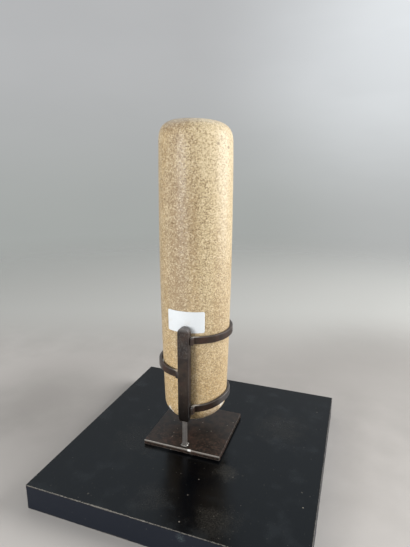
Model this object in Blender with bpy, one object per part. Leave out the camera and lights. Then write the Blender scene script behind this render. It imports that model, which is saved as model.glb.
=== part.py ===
"""Stone pestle on its steel display mount and black plinth.

Metres, +Z up. The origin is the middle of the plinth's underside.
The stone is lifted up out of three sprung arms, the arms and their spine lift off a post,
and the post's plate stands loose on the plinth.
"""

import math

import bmesh
import bpy
from mathutils import Vector

# Fits shared by every piece, and the angle past which an edge counts as sharp
CONTACT_GAP = 0.0003
SLIDE_CLEARANCE = 0.0003
SHARP_ANGLE = math.radians(40.0)

# Plinth
PLINTH_SIDE = 0.250
PLINTH_THICKNESS = 0.025
PLINTH_EDGE = 0.0008

# Stone: where its axis stands on the plinth, and its turned profile
STONE_X = -0.0124
STONE_Y = 0.0097
STONE_LENGTH = 0.302
STONE_TOP_RADIUS = 0.0345
STONE_MIDDLE_RADIUS = 0.0355
STONE_FOOT_RADIUS = 0.0318
STONE_ABOVE_PLATE = 0.0132
TOP_CAP_HEIGHT = 0.0237
TOP_CAP_POWER = 3.35
FOOT_CAP_HEIGHT = 0.0214
FOOT_CAP_POWER = 1.92
TOP_SLOPE = 0.033
TOP_SLOPE_HEIGHT = 0.060
FOOT_SLOPE = 0.073
FOOT_SLOPE_HEIGHT = 0.040
STONE_LEAN = 0.0006
STONE_ASIDE = math.radians(19.6)
STONE_SIDES = 72
CAP_RINGS = 9
BODY_RINGS = 10
RADIUS_SAMPLES = 24

# Paper label on the stone
LABEL_WIDTH = 0.0381
LABEL_HEIGHT = 0.0212
LABEL_THICKNESS = 0.0002
LABEL_CORNER = 0.0018
LABEL_MIDDLE_HEIGHT = 0.1167
LABEL_TURN = math.radians(3.8)
LABEL_COLUMNS = 20
LABEL_CORNER_ROWS = 4

# Spine bar behind the stone, and its socket
SPINE_WIDTH = 0.0116
SPINE_DEPTH = 0.0066
SPINE_LENGTH = 0.0985
SPINE_ASIDE = 0.0031
SPINE_BEVEL_HEIGHT = 0.0060
SPINE_FRONT_BEVEL = 0.0005
SPINE_SIDE_BEVEL = 0.0012
SPINE_EDGE = 0.0003
SPINE_TOP_STEPS = 16
SOCKET_DEPTH = 0.040

# Strip arms, each bent to the stone at its own height and brazed to the spine's sides
ARM_HEIGHT = 0.0070
ARM_THICKNESS = 0.0030
ARM_TAB_SET_BACK = 0.0025
ARM_BEND_RADIUS = 0.0022
ARM_WRAP = math.radians(140.0)
ARM_LEVEL_FROM = math.radians(80.0)
ARM_EDGE = 0.0003
ARM_BEND_STEPS = 6
ARM_WRAP_STEPS = 28
UPPER_ARM_BELOW_TOP = 0.0137
UPPER_ARM_BELOW_LABEL = 0.0010
LEFT_ARM_ABOVE_FOOT = 0.0481
LOWER_ARM_ABOVE_FOOT = 0.0116
LEFT_ARM_RISE = 0.0008
LOWER_ARM_RISE = 0.0036
LEFT_ARM_OFF_STONE = 0.0008
BRAZE_LEG = 0.0012
BRAZE_LENGTH = 0.0026
BRAZE_FROM_TAB_END = 0.0004
BRAZE_STEPS = 4

# Post, its weld and the plate
POST_SIDE = 0.0040
POST_BARE_LENGTH = 0.0277
WELD_SPREAD = 0.0009
WELD_HEIGHT = 0.0020
WELD_TOP_WALL = 0.0004
WELD_WAIST_SHARE = 0.35
WELD_SIDES = 24
PLATE_WIDTH = 0.081
PLATE_DEPTH = 0.080
PLATE_THICKNESS = 0.0045
PLATE_EDGE = 0.0004
POST_FROM_PLATE_FRONT = 0.0062
POST_FROM_PLATE_MIDDLE = 0.0021

# Heights that the stack of pieces gives
PLATE_TOP = PLINTH_THICKNESS + CONTACT_GAP + PLATE_THICKNESS
POST_FOOT = PLATE_TOP + CONTACT_GAP
SPINE_FOOT = POST_FOOT + POST_BARE_LENGTH
SPINE_TOP = SPINE_FOOT + SPINE_LENGTH
STONE_FOOT = PLATE_TOP + STONE_ABOVE_PLATE
LABEL_FOOT = STONE_FOOT + LABEL_MIDDLE_HEIGHT - LABEL_HEIGHT / 2.0

# Middle of each strip where it leaves the spine; the upper one also keeps clear below the label
UPPER_ARM_LIMIT = LABEL_FOOT - UPPER_ARM_BELOW_LABEL - ARM_HEIGHT / 2.0
UPPER_ARM_ROOT = min(SPINE_TOP - UPPER_ARM_BELOW_TOP, UPPER_ARM_LIMIT)
LEFT_ARM_ROOT = SPINE_FOOT + LEFT_ARM_ABOVE_FOOT
LOWER_ARM_ROOT = SPINE_FOOT + LOWER_ARM_ABOVE_FOOT


def stone_body_radius(height):
    """Radius of the swelling shaft, before its two ends are rounded."""
    share = height / STONE_LENGTH
    foot = STONE_FOOT_RADIUS * (1.0 - share) * (1.0 - 2.0 * share)
    middle = STONE_MIDDLE_RADIUS * 4.0 * share * (1.0 - share)
    top = STONE_TOP_RADIUS * share * (2.0 * share - 1.0)
    return foot + middle + top


def widest_stone_radius(low, high):
    """Largest shaft radius between two heights above the stone's foot."""
    heights = [low + (high - low) * i / RADIUS_SAMPLES for i in range(RADIUS_SAMPLES + 1)]
    return max(stone_body_radius(h) for h in heights)


# Plan of the mount, measured from the stone's axis
SPINE_STANDOFF = CONTACT_GAP + LABEL_THICKNESS + CONTACT_GAP
SPINE_REAR = -widest_stone_radius(SPINE_FOOT - STONE_FOOT, SPINE_TOP - STONE_FOOT) - SPINE_STANDOFF
SPINE_FRONT = SPINE_REAR - SPINE_DEPTH
STONE_LEAN_FROM = max(SPINE_TOP - STONE_FOOT, LABEL_MIDDLE_HEIGHT + LABEL_HEIGHT / 2.0)
POST_X = SPINE_ASIDE
POST_Y = (SPINE_FRONT + SPINE_REAR) / 2.0
PLATE_X = POST_X - POST_FROM_PLATE_MIDDLE
PLATE_Y = POST_Y - POST_FROM_PLATE_FRONT + PLATE_DEPTH / 2.0


def remove_scene_objects():
    for obj in list(bpy.data.objects):
        bpy.data.objects.remove(obj, do_unlink=True)


def make_material(name, colour, roughness, metallic):
    material = bpy.data.materials.new(name)
    material.use_nodes = True
    shader = material.node_tree.nodes["Principled BSDF"]
    shader.inputs["Base Color"].default_value = (*colour, 1.0)
    shader.inputs["Roughness"].default_value = roughness
    shader.inputs["Metallic"].default_value = metallic
    material.diffuse_color = (*colour, 1.0)
    return material


def make_empty(name, parent, location):
    empty = bpy.data.objects.new(name, None)
    bpy.context.collection.objects.link(empty)
    empty.parent = parent
    empty.location = location
    return empty


def finish_object(name, bm, material, parent, location):
    """Close the mesh with outward faces and place it under its parent."""
    bmesh.ops.recalc_face_normals(bm, faces=bm.faces)
    mesh = bpy.data.meshes.new(name)
    bm.to_mesh(mesh)
    bm.free()
    mesh.materials.append(material)
    obj = bpy.data.objects.new(name, mesh)
    bpy.context.collection.objects.link(obj)
    obj.parent = parent
    obj.location = location
    return obj


def shade_round(obj):
    obj.data.shade_smooth()
    obj.data.set_sharp_from_angle(angle=SHARP_ANGLE)


def add_bevel(obj, width, segments):
    bevel = obj.modifiers.new("edge", "BEVEL")
    bevel.width = width
    bevel.segments = segments
    bevel.limit_method = "ANGLE"
    bevel.angle_limit = SHARP_ANGLE


def join_rings(bm, rings, closed_along):
    """Bridge rows of points into a skin; closed_along joins the last row to the first."""
    rows = [[bm.verts.new(point) for point in ring] for ring in rings]
    count = len(rows[0])
    spans = len(rows) if closed_along else len(rows) - 1
    for i in range(spans):
        low = rows[i]
        high = rows[(i + 1) % len(rows)]
        for j in range(count):
            k = (j + 1) % count
            bm.faces.new((low[j], low[k], high[k], high[j]))
    return rows


def close_with_point(bm, row, point):
    tip = bm.verts.new(point)
    for j, vert in enumerate(row):
        bm.faces.new((vert, row[(j + 1) % len(row)], tip))


def box(bm, low, high):
    corners = []
    for z in (low[2], high[2]):
        for x, y in ((low[0], low[1]), (high[0], low[1]), (high[0], high[1]), (low[0], high[1])):
            corners.append(bm.verts.new((x, y, z)))
    bm.faces.new(corners[0:4])
    bm.faces.new(corners[4:8])
    for j in range(4):
        k = (j + 1) % 4
        bm.faces.new((corners[j], corners[k], corners[4 + k], corners[4 + j]))


# The stone
def stone_rings():
    """Heights and radii from the foot cap, up the shaft, to the top cap."""
    rings = []
    for i in range(1, CAP_RINGS):
        turn = math.pi / 2.0 * (1.0 - i / CAP_RINGS)
        drop = math.sin(turn) ** (2.0 / FOOT_CAP_POWER)
        height = FOOT_CAP_HEIGHT * (1.0 - drop)
        rings.append((height, stone_body_radius(height) * math.cos(turn) ** (2.0 / FOOT_CAP_POWER)))
    shaft = STONE_LENGTH - FOOT_CAP_HEIGHT - TOP_CAP_HEIGHT
    for i in range(BODY_RINGS + 1):
        height = FOOT_CAP_HEIGHT + shaft * i / BODY_RINGS
        rings.append((height, stone_body_radius(height)))
    for i in range(1, CAP_RINGS):
        turn = math.pi / 2.0 * i / CAP_RINGS
        rise = math.sin(turn) ** (2.0 / TOP_CAP_POWER)
        height = STONE_LENGTH - TOP_CAP_HEIGHT * (1.0 - rise)
        rings.append((height, stone_body_radius(height) * math.cos(turn) ** (2.0 / TOP_CAP_POWER)))
    return rings


def stone_point(radius, turn, height):
    """A point on the stone. To one side it leans above the mount, its top dips and its foot rises."""
    aside = Vector((math.cos(STONE_ASIDE), math.sin(STONE_ASIDE), 0.0))
    point = Vector((radius * math.cos(turn), radius * math.sin(turn), height))
    dip_share = max(0.0, (height - STONE_LENGTH + TOP_SLOPE_HEIGHT) / TOP_SLOPE_HEIGHT)
    lean_share = max(0.0, (height - STONE_LEAN_FROM) / (STONE_LENGTH - STONE_LEAN_FROM))
    rise_share = max(0.0, 1.0 - height / FOOT_SLOPE_HEIGHT)
    point.z += (FOOT_SLOPE * rise_share - TOP_SLOPE * dip_share) * point.dot(aside)
    return point + aside * STONE_LEAN * lean_share


def make_stone(parent, material):
    bm = bmesh.new()
    turns = [2.0 * math.pi * j / STONE_SIDES for j in range(STONE_SIDES)]
    rings = [[stone_point(r, a, h) for a in turns] for h, r in stone_rings()]
    rows = join_rings(bm, rings, closed_along=False)
    close_with_point(bm, rows[0], stone_point(0.0, 0.0, 0.0))
    close_with_point(bm, rows[-1], stone_point(0.0, 0.0, STONE_LENGTH))
    stone = finish_object("stone_pestle", bm, material, parent, (0.0, 0.0, 0.0))
    stone.data.shade_smooth()
    return stone


def label_rows():
    """Heights and half widths of the label, with a quarter round at each corner."""
    corner = []
    for i in range(LABEL_CORNER_ROWS + 1):
        turn = math.pi / 2.0 * i / LABEL_CORNER_ROWS
        rise = LABEL_CORNER * (1.0 - math.cos(turn))
        reach = LABEL_WIDTH / 2.0 - LABEL_CORNER * (1.0 - math.sin(turn))
        corner.append((rise, reach))
    low = [(rise - LABEL_HEIGHT / 2.0, reach) for rise, reach in corner]
    high = [(LABEL_HEIGHT / 2.0 - rise, reach) for rise, reach in reversed(corner)]
    return low + high


def make_label(parent, material):
    bm = bmesh.new()
    layers = []
    for lift in (CONTACT_GAP, CONTACT_GAP + LABEL_THICKNESS):
        layer = []
        for rise, reach in label_rows():
            height = LABEL_MIDDLE_HEIGHT + rise
            shaft = stone_body_radius(height)
            row = []
            for i in range(LABEL_COLUMNS + 1):
                turn = LABEL_TURN + reach * (2.0 * i / LABEL_COLUMNS - 1.0) / shaft
                radius = shaft + lift
                row.append(bm.verts.new((radius * math.sin(turn), -radius * math.cos(turn), height)))
            layer.append(row)
        layers.append(layer)
    inner, outer = layers
    rows = len(inner)
    for layer in layers:
        for i in range(rows - 1):
            for j in range(LABEL_COLUMNS):
                bm.faces.new((layer[i][j], layer[i][j + 1], layer[i + 1][j + 1], layer[i + 1][j]))
    for i in range(rows - 1):
        for j in (0, LABEL_COLUMNS):
            bm.faces.new((inner[i][j], inner[i + 1][j], outer[i + 1][j], outer[i][j]))
    for j in range(LABEL_COLUMNS):
        for i in (0, rows - 1):
            bm.faces.new((inner[i][j], inner[i][j + 1], outer[i][j + 1], outer[i][j]))
    label = finish_object("paper_label", bm, material, parent, (0.0, 0.0, 0.0))
    shade_round(label)
    return label


# The cradle: spine, arms and brazes
def spine_outline():
    """Front view of the spine from its foot, with the round top: pairs of x and height."""
    half = SPINE_WIDTH / 2.0
    foot_half = half - SPINE_SIDE_BEVEL
    points = [(-foot_half, 0.0), (foot_half, 0.0), (half, SPINE_BEVEL_HEIGHT)]
    for i in range(SPINE_TOP_STEPS + 1):
        turn = math.pi * i / SPINE_TOP_STEPS
        points.append((half * math.cos(turn), SPINE_LENGTH - half + half * math.sin(turn)))
    points.append((-half, SPINE_BEVEL_HEIGHT))
    return points


def make_spine(parent, material):
    """The bar, bevelled at the foot's front and sides, with a square blind socket for the post."""
    bm = bmesh.new()
    outline = spine_outline()
    front = SPINE_FRONT - POST_Y
    rear = SPINE_REAR - POST_Y
    front_row = []
    rear_row = []
    for x, height in outline:
        set_back = SPINE_FRONT_BEVEL * max(0.0, 1.0 - height / SPINE_BEVEL_HEIGHT)
        front_row.append(bm.verts.new((x, front + set_back, height)))
        rear_row.append(bm.verts.new((x, rear, height)))
    foot_front = [front_row[-1], front_row[0], front_row[1], front_row[2]]
    bm.faces.new(foot_front)
    bm.faces.new(front_row[2:])
    bm.faces.new(rear_row)
    for j in range(len(outline)):
        k = (j + 1) % len(outline)
        bm.faces.new((front_row[j], front_row[k], rear_row[k], rear_row[j]))
    spine = finish_object("spine_bar", bm, material, parent, (0.0, 0.0, SPINE_FOOT))
    add_bevel(spine, SPINE_EDGE, 1)

    cutter_bm = bmesh.new()
    half = POST_SIDE / 2.0 + SLIDE_CLEARANCE
    box(cutter_bm, (-half, -half, -SOCKET_DEPTH), (half, half, SOCKET_DEPTH))
    cutter = finish_object("socket_cutter", cutter_bm, material, parent, (0.0, 0.0, SPINE_FOOT))
    cutter.hide_render = True
    cutter.display_type = "WIRE"
    cut = spine.modifiers.new("socket", "BOOLEAN")
    cut.operation = "DIFFERENCE"
    cut.object = cutter
    return spine


def arm_root(side):
    """Middle of the strip where it lies on the spine's side, measured outwards from the stone's axis."""
    return side * SPINE_ASIDE + SPINE_WIDTH / 2.0 + CONTACT_GAP + ARM_THICKNESS / 2.0


def arm_lift(turn, start, rise):
    """The strip climbs smoothly from its root and runs level past the stone's side."""
    share = min(1.0, max(0.0, (turn - start) / (ARM_LEVEL_FROM - start)))
    return rise * share * share * (3.0 - 2.0 * share)


def arm_ring_radius(root_height, rise, off_stone):
    """Radius of a strip's middle line round the stone, clear of what the stone draws up past it."""
    high = root_height + rise + ARM_HEIGHT / 2.0 - STONE_FOOT
    stone = widest_stone_radius(SPINE_FOOT - STONE_FOOT, high)
    return stone + CONTACT_GAP + off_stone + ARM_THICKNESS / 2.0


def arm_path(side, root_height, rise, ring):
    """Middle line of a strip as (point, outward direction), from its tab round to its end."""
    root = arm_root(side)
    centre_out = root + ARM_BEND_RADIUS
    centre_y = -math.sqrt((ring + ARM_BEND_RADIUS) ** 2 - centre_out ** 2)
    start = math.atan2(centre_out, -centre_y)
    path = [((root, SPINE_FRONT + ARM_TAB_SET_BACK, root_height), (1.0, 0.0))]
    for i in range(ARM_BEND_STEPS):
        turn = (math.pi / 2.0 - start) * i / ARM_BEND_STEPS
        out = centre_out - ARM_BEND_RADIUS * math.cos(turn)
        y = centre_y + ARM_BEND_RADIUS * math.sin(turn)
        path.append(((out, y, root_height), (math.cos(turn), -math.sin(turn))))
    for i in range(ARM_WRAP_STEPS + 1):
        turn = start + (ARM_WRAP - start) * i / ARM_WRAP_STEPS
        height = root_height + arm_lift(turn, start, rise)
        direction = (math.sin(turn), -math.cos(turn))
        path.append(((ring * direction[0], ring * direction[1], height), direction))
    return path


def make_arm(name, side, root_height, rise, off_stone, parent, material):
    """A flat strip swept along its bent path."""
    bm = bmesh.new()
    rings = []
    ring_radius = arm_ring_radius(root_height, rise, off_stone)
    for (out, y, height), (nx, ny) in arm_path(side, root_height, rise, ring_radius):
        ring = []
        for across, up in ((-1, -1), (1, -1), (1, 1), (-1, 1)):
            x = side * (out + across * nx * ARM_THICKNESS / 2.0)
            ring.append(Vector((x, y + across * ny * ARM_THICKNESS / 2.0, height + up * ARM_HEIGHT / 2.0)))
        rings.append(ring)
    rows = join_rings(bm, rings, closed_along=False)
    bm.faces.new(rows[0])
    bm.faces.new(rows[-1])
    arm = finish_object(name, bm, material, parent, (-POST_X, -POST_Y, 0.0))
    add_bevel(arm, ARM_EDGE, 1)
    return arm


def make_braze(name, side, root_height, parent, material):
    """A quarter-round bead on top of a strip's tab, in the corner with the spine's side."""
    bm = bmesh.new()
    corner_out = side * SPINE_ASIDE + SPINE_WIDTH / 2.0 + CONTACT_GAP
    corner_height = root_height + ARM_HEIGHT / 2.0 + CONTACT_GAP
    outline = [(corner_out, corner_height)]
    for i in range(BRAZE_STEPS + 1):
        turn = math.pi / 2.0 * i / BRAZE_STEPS
        out = corner_out + BRAZE_LEG * math.cos(turn)
        outline.append((out, corner_height + BRAZE_LEG * math.sin(turn)))
    front = SPINE_FRONT + ARM_TAB_SET_BACK + BRAZE_FROM_TAB_END
    rings = []
    for y in (front, front + BRAZE_LENGTH):
        rings.append([(side * out, y, height) for out, height in outline])
    rows = join_rings(bm, rings, closed_along=False)
    bm.faces.new(rows[0])
    bm.faces.new(rows[-1])
    return finish_object(name, bm, material, parent, (-POST_X, -POST_Y, 0.0))


# The stand: post, weld and plate
def make_post(parent, material):
    bm = bmesh.new()
    half = POST_SIDE / 2.0
    length = POST_BARE_LENGTH + SOCKET_DEPTH - CONTACT_GAP
    box(bm, (-half, -half, 0.0), (half, half, length))
    return finish_object("post", bm, material, parent, (0.0, 0.0, POST_FOOT))


def square_ring(half, height):
    """Points round a square, at even turns, so that rings of unlike size line up."""
    ring = []
    for j in range(WELD_SIDES):
        turn = 2.0 * math.pi * (j + 0.5) / WELD_SIDES
        reach = half / max(abs(math.cos(turn)), abs(math.sin(turn)))
        ring.append(Vector((reach * math.cos(turn), reach * math.sin(turn), height)))
    return ring


def round_ring(radius, height):
    turns = [2.0 * math.pi * (j + 0.5) / WELD_SIDES for j in range(WELD_SIDES)]
    return [Vector((radius * math.cos(a), radius * math.sin(a), height)) for a in turns]


def make_weld(parent, material):
    """A hollow-sided bead round the post's foot."""
    bm = bmesh.new()
    bore = POST_SIDE / 2.0 + CONTACT_GAP
    top = bore * math.sqrt(2.0) + WELD_TOP_WALL
    foot = top + WELD_SPREAD
    waist = top + WELD_SPREAD * WELD_WAIST_SHARE
    rings = [square_ring(bore, 0.0), round_ring(foot, 0.0), round_ring(waist, WELD_HEIGHT / 2.0)]
    rings += [round_ring(top, WELD_HEIGHT), square_ring(bore, WELD_HEIGHT)]
    join_rings(bm, rings, closed_along=True)
    return finish_object("post_weld", bm, material, parent, (0.0, 0.0, POST_FOOT))


def make_slab(name, width, depth, thickness, edge, parent, location, material):
    """A flat board or plate standing on its location, with eased edges."""
    bm = bmesh.new()
    box(bm, (-width / 2.0, -depth / 2.0, 0.0), (width / 2.0, depth / 2.0, thickness))
    slab = finish_object(name, bm, material, parent, location)
    add_bevel(slab, edge, 2)
    return slab


def main():
    remove_scene_objects()
    stone = make_material("tan_stone", (0.52, 0.38, 0.22), 0.55, 0.0)
    paper = make_material("white_paper", (0.86, 0.87, 0.88), 0.60, 0.0)
    patina = make_material("brown_patina_steel", (0.035, 0.028, 0.024), 0.45, 0.85)
    bare_steel = make_material("bare_steel", (0.30, 0.28, 0.26), 0.40, 1.0)
    bead = make_material("weld_bead", (0.26, 0.24, 0.22), 0.50, 1.0)
    plate_patina = make_material("plate_patina", (0.045, 0.033, 0.027), 0.45, 0.85)
    black_paint = make_material("black_satin_paint", (0.012, 0.013, 0.015), 0.40, 0.0)

    make_slab("plinth", PLINTH_SIDE, PLINTH_SIDE, PLINTH_THICKNESS, PLINTH_EDGE,
              None, (0.0, 0.0, 0.0), black_paint)

    # The stand's frame is on the post's axis, at the height of the plinth's underside
    stand = make_empty("stand_frame", None, (STONE_X + POST_X, STONE_Y + POST_Y, 0.0))
    plate_at = (PLATE_X - POST_X, PLATE_Y - POST_Y, PLINTH_THICKNESS + CONTACT_GAP)
    make_slab("base_plate", PLATE_WIDTH, PLATE_DEPTH, PLATE_THICKNESS, PLATE_EDGE,
              stand, plate_at, plate_patina)
    make_post(stand, bare_steel)
    make_weld(stand, bead)

    # The cradle slides on the post's axis
    cradle = make_empty("cradle_frame", stand, (0.0, 0.0, 0.0))
    make_spine(cradle, patina)
    arms = (
        ("upper_arm", 1, UPPER_ARM_ROOT, 0.0, 0.0),
        ("left_arm", -1, LEFT_ARM_ROOT, LEFT_ARM_RISE, LEFT_ARM_OFF_STONE),
        ("lower_arm", 1, LOWER_ARM_ROOT, LOWER_ARM_RISE, 0.0),
    )
    for name, side, root_height, rise, off_stone in arms:
        make_arm(name, side, root_height, rise, off_stone, cradle, patina)
        make_braze(name + "_braze", side, root_height, cradle, bead)

    # The stone slides up its own axis
    pestle = make_empty("pestle_frame", cradle, (-POST_X, -POST_Y, STONE_FOOT))
    make_stone(pestle, stone)
    make_label(pestle, paper)


main()
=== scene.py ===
# %% [markdown]
# # A stone pestle on its steel display mount
#
# A long stone pestle, ground smooth by hand, stands upright in a small steel mount. The mount is a bar
# with three bent strips, slipped over a post on a square plate, and all of it stands on a black board.
# The frame that is loaded first holds each piece as a plain solid of the real size, in metres. This lesson
# gives every piece its fine shape and its finish, and leaves the frame's sizes and places as they are.

# %% Load the frame
import math
from functools import reduce

import bmesh
import bpy
from mathutils import Matrix, Vector, noise


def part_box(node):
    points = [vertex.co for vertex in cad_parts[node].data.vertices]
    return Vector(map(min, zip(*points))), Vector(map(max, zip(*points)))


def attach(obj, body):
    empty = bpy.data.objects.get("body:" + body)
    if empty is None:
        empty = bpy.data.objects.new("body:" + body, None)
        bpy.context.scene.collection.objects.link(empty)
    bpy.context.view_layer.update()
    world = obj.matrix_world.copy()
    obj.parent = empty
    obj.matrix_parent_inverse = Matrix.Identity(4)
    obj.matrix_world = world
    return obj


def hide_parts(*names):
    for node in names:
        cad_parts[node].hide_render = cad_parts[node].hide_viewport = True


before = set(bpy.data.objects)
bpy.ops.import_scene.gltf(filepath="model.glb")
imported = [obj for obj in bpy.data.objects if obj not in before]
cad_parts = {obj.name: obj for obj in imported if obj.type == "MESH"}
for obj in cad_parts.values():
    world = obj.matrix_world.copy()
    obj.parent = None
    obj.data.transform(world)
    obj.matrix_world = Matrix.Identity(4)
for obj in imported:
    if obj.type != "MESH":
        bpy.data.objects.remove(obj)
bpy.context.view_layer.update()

QUARTER = math.pi / 2
collection = bpy.context.scene.collection

# %% [markdown]
# ## The camera
#
# The photograph looks at the back of the mount, from a little to the right and a little above. A camera
# could be aimed by eye. Here its place, its turn and its lens were fitted to the straight edges of the
# square board and plate and to the stone's sides, so that the render can be laid over the photograph.

# %% Camera
CAMERA_AT = (0.1356, -0.3773, 0.3025)
CAMERA_TURN = math.radians(19.63)
CAMERA_DOWN = math.radians(14.04)
CAMERA_ROLL = math.radians(0.22)
CAMERA_LENS = 28.08
CAMERA_SENSOR = 36.0

camera_data = bpy.data.cameras.new("photo_camera")
camera_data.sensor_fit = "VERTICAL"
camera_data.sensor_height = CAMERA_SENSOR
camera_data.lens = CAMERA_LENS
camera = bpy.data.objects.new("photo_camera", camera_data)
camera_turn = Matrix.Rotation(CAMERA_TURN, 4, "Z")
camera_tilt = Matrix.Rotation(QUARTER - CAMERA_DOWN, 4, "X")
camera_roll = Matrix.Rotation(CAMERA_ROLL, 4, "Z")
camera.matrix_world = Matrix.Translation(CAMERA_AT) @ camera_turn @ camera_tilt @ camera_roll
collection.objects.link(camera)
bpy.context.scene.camera = camera
bpy.context.scene.view_settings.view_transform = "Standard"
print("camera:", CAMERA_LENS, "mm lens at", CAMERA_AT)

# %% [markdown]
# ## Sums with sockets
#
# A finish is a little sum over the surface: so much brown here, so much wear there. The nodes for it could
# be added and joined one by one, which takes four lines for each plus sign. Instead this class wraps a
# socket, and Python's own operators add the Math nodes. The same class builds the Geometry Nodes trees.
# In the sums below, smooth(low, high) picks the part of a noise that counts, a number times a mask says how
# strongly it shows, and blend lays one colour over another.


# %% Find and set sockets
def find_socket(sockets, key):
    """A socket by its place, or by its name among those that the node's settings leave on."""
    if isinstance(key, int):
        return sockets[key]
    return next(socket for socket in sockets if socket.name == key and socket.enabled)


def plug(node, values):
    """Join wires to a node's inputs, and set the inputs that are plain values."""
    for key, value in values.items():
        socket = find_socket(node.inputs, key)
        if isinstance(value, Wire):
            node.id_data.links.new(value.socket, socket)
        elif socket.type == "RGBA":
            socket.default_value = (*value, 1.0)
        else:
            socket.default_value = value


print("sockets: found by place or name, then joined or set")


# %% A socket that does sums
class Wire:
    """One socket of a node tree. A sum with it adds Math nodes to the same tree."""

    def __init__(self, tree, socket=None):
        self.tree = tree
        self.socket = socket

    def node(self, kind, settings=None, values=None, output=0):
        """Add a node: its settings first, then its sockets. The result is one of its outputs."""
        made = self.tree.nodes.new(kind)
        for key, value in (settings or {}).items():
            setattr(made, key, value)
        plug(made, values or {})
        return Wire(self.tree, find_socket(made.outputs, output))

    def out(self, key):
        """Another output of the same node."""
        return Wire(self.tree, find_socket(self.socket.node.outputs, key))

    def math(self, operation, *values):
        """A Math node with this wire first."""
        inputs = dict(enumerate((self, *values)))
        return self.node("ShaderNodeMath", {"operation": operation}, inputs)

    def __add__(self, other):
        return self.math("ADD", other)

    def __sub__(self, other):
        return self.math("SUBTRACT", other)

    def __rsub__(self, other):
        return self.node("ShaderNodeMath", {"operation": "SUBTRACT"}, {0: other, 1: self})

    def __mul__(self, other):
        return self.math("MULTIPLY", other)

    def __truediv__(self, other):
        return self.math("DIVIDE", other)

    def __rtruediv__(self, other):
        return self.node("ShaderNodeMath", {"operation": "DIVIDE"}, {0: other, 1: self})

    def __pow__(self, other):
        return self.math("POWER", other)

    def __abs__(self):
        return self.math("ABSOLUTE")

    __radd__ = __add__
    __rmul__ = __mul__

    def least(self, other):
        return self.math("MINIMUM", other)

    def most(self, other):
        return self.math("MAXIMUM", other)

    def smooth(self, low, high):
        """0 below low and 1 above high, with a soft step between; low may be the greater one."""
        inputs = {"Value": self, "From Min": low, "From Max": high}
        return self.node("ShaderNodeMapRange", {"interpolation_type": "SMOOTHSTEP"}, inputs)

    def split(self):
        """The three numbers of a vector."""
        x = self.node("ShaderNodeSeparateXYZ", None, {0: self})
        return x, x.out("Y"), x.out("Z")

    def join(self, x, y, z):
        """A vector of three numbers."""
        return self.node("ShaderNodeCombineXYZ", None, {"X": x, "Y": y, "Z": z})

    def vector(self, operation, other, output=0):
        """A Vector Math node with this wire first."""
        return self.node("ShaderNodeVectorMath", {"operation": operation}, {0: self, 1: other}, output)

    def scaled(self, factor):
        """This vector, made longer or shorter."""
        inputs = {"Vector": self, "Scale": factor}
        return self.node("ShaderNodeVectorMath", {"operation": "SCALE"}, inputs)

    def distance(self, point):
        """How far this place is from a point, in metres."""
        return self.vector("DISTANCE", point, "Value")

    def blend(self, low, high):
        """Mix two colours by this mask: low where it is 0, high where it is 1."""
        inputs = {"Factor": self, "A": low, "B": high}
        return self.node("ShaderNodeMix", {"data_type": "RGBA"}, inputs, "Result")

    def lumps(self, size, detail=2.0):
        """Soft noise over this place, with lumps about as wide as size, in metres."""
        inputs = {"Vector": self, "Scale": 1.0 / size, "Detail": detail}
        return self.node("ShaderNodeTexNoise", None, inputs)

    def grains(self, size):
        """Cells about as wide as size: the distance to each cell's middle, and a chance number in Color."""
        return self.node("ShaderNodeTexVoronoi", None, {"Vector": self, "Scale": 1.0 / size})

    def chance(self):
        """A fixed chance number from 0 to 1 for each cell of grains."""
        return self.node("ShaderNodeSeparateColor", None, {0: self.out("Color")})

    def mask(self, name):
        """A mask that a Geometry Nodes tree has stored on the piece."""
        return self.node("ShaderNodeAttribute", {"attribute_name": name}, None, "Fac")

    def bump(self, strength, distance):
        """Use this wire as a height for the shader's Normal."""
        inputs = {"Height": self, "Strength": strength, "Distance": distance}
        return self.node("ShaderNodeBump", None, inputs)


print("sums: one class for shader nodes and for Geometry Nodes")


# %% Materials, meshes and pieces
def new_material(name):
    """A material, its shader node, and a wire of where each point is on the finished piece."""
    material = bpy.data.materials.new(name)
    material.use_nodes = True
    shader = material.node_tree.nodes["Principled BSDF"]
    place = Wire(material.node_tree).node("ShaderNodeTexCoord", output="Object")
    return material, shader, place


def lay_over(colour, layers):
    """Blend layers over a colour, from the lowest up. Each is a mask and the colour that it brings."""
    for mask, tint in layers:
        colour = mask.blend(colour, tint)
    return colour


def finished_mesh(name, bm):
    """Turn a bmesh into a plain mesh, and let the bmesh go."""
    mesh = bpy.data.meshes.new(name)
    bm.to_mesh(mesh)
    bm.free()
    return mesh


def new_piece(name, mesh):
    """An object at the origin, with its place in its mesh."""
    piece = bpy.data.objects.new(name, mesh)
    collection.objects.link(piece)
    return piece


print("helpers: new_material, lay_over, finished_mesh, new_piece")

# %% [markdown]
# ## Floor, background and light
#
# The object stands on a sweep of pale grey paper, in soft light from the right, as from a window, and
# dimmer light from the front. The sweep could be a bent sheet, but a sheet would stand in the way of a
# camera at the back. Here the floor is a flat disc that fades away with distance, with a paler band far off
# and two dim spots: the one left of the board is a painted shadow of the board and stone, and the other
# dims the floor far behind on the right. The world behind it has the paper's colours. Only rays from the
# camera and from reflections see those colours, and reflections also find a bright ceiling, which gives
# paint and steel their sheen. An even grey lights the object.

# %% Floor
FLOOR_RADIUS = 2.5
FLOOR_SEGMENTS = 96
FLOOR_BELOW = 0.0001

floor_bm = bmesh.new()
bmesh.ops.create_circle(floor_bm, cap_ends=True, radius=FLOOR_RADIUS, segments=FLOOR_SEGMENTS)
floor_mesh = finished_mesh("paper_floor", floor_bm)
floor_mesh.transform(Matrix.Translation((0.0, 0.0, -FLOOR_BELOW)))
floor = new_piece("paper_floor", floor_mesh)
print("floor: a disc of", FLOOR_RADIUS, "m")

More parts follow.
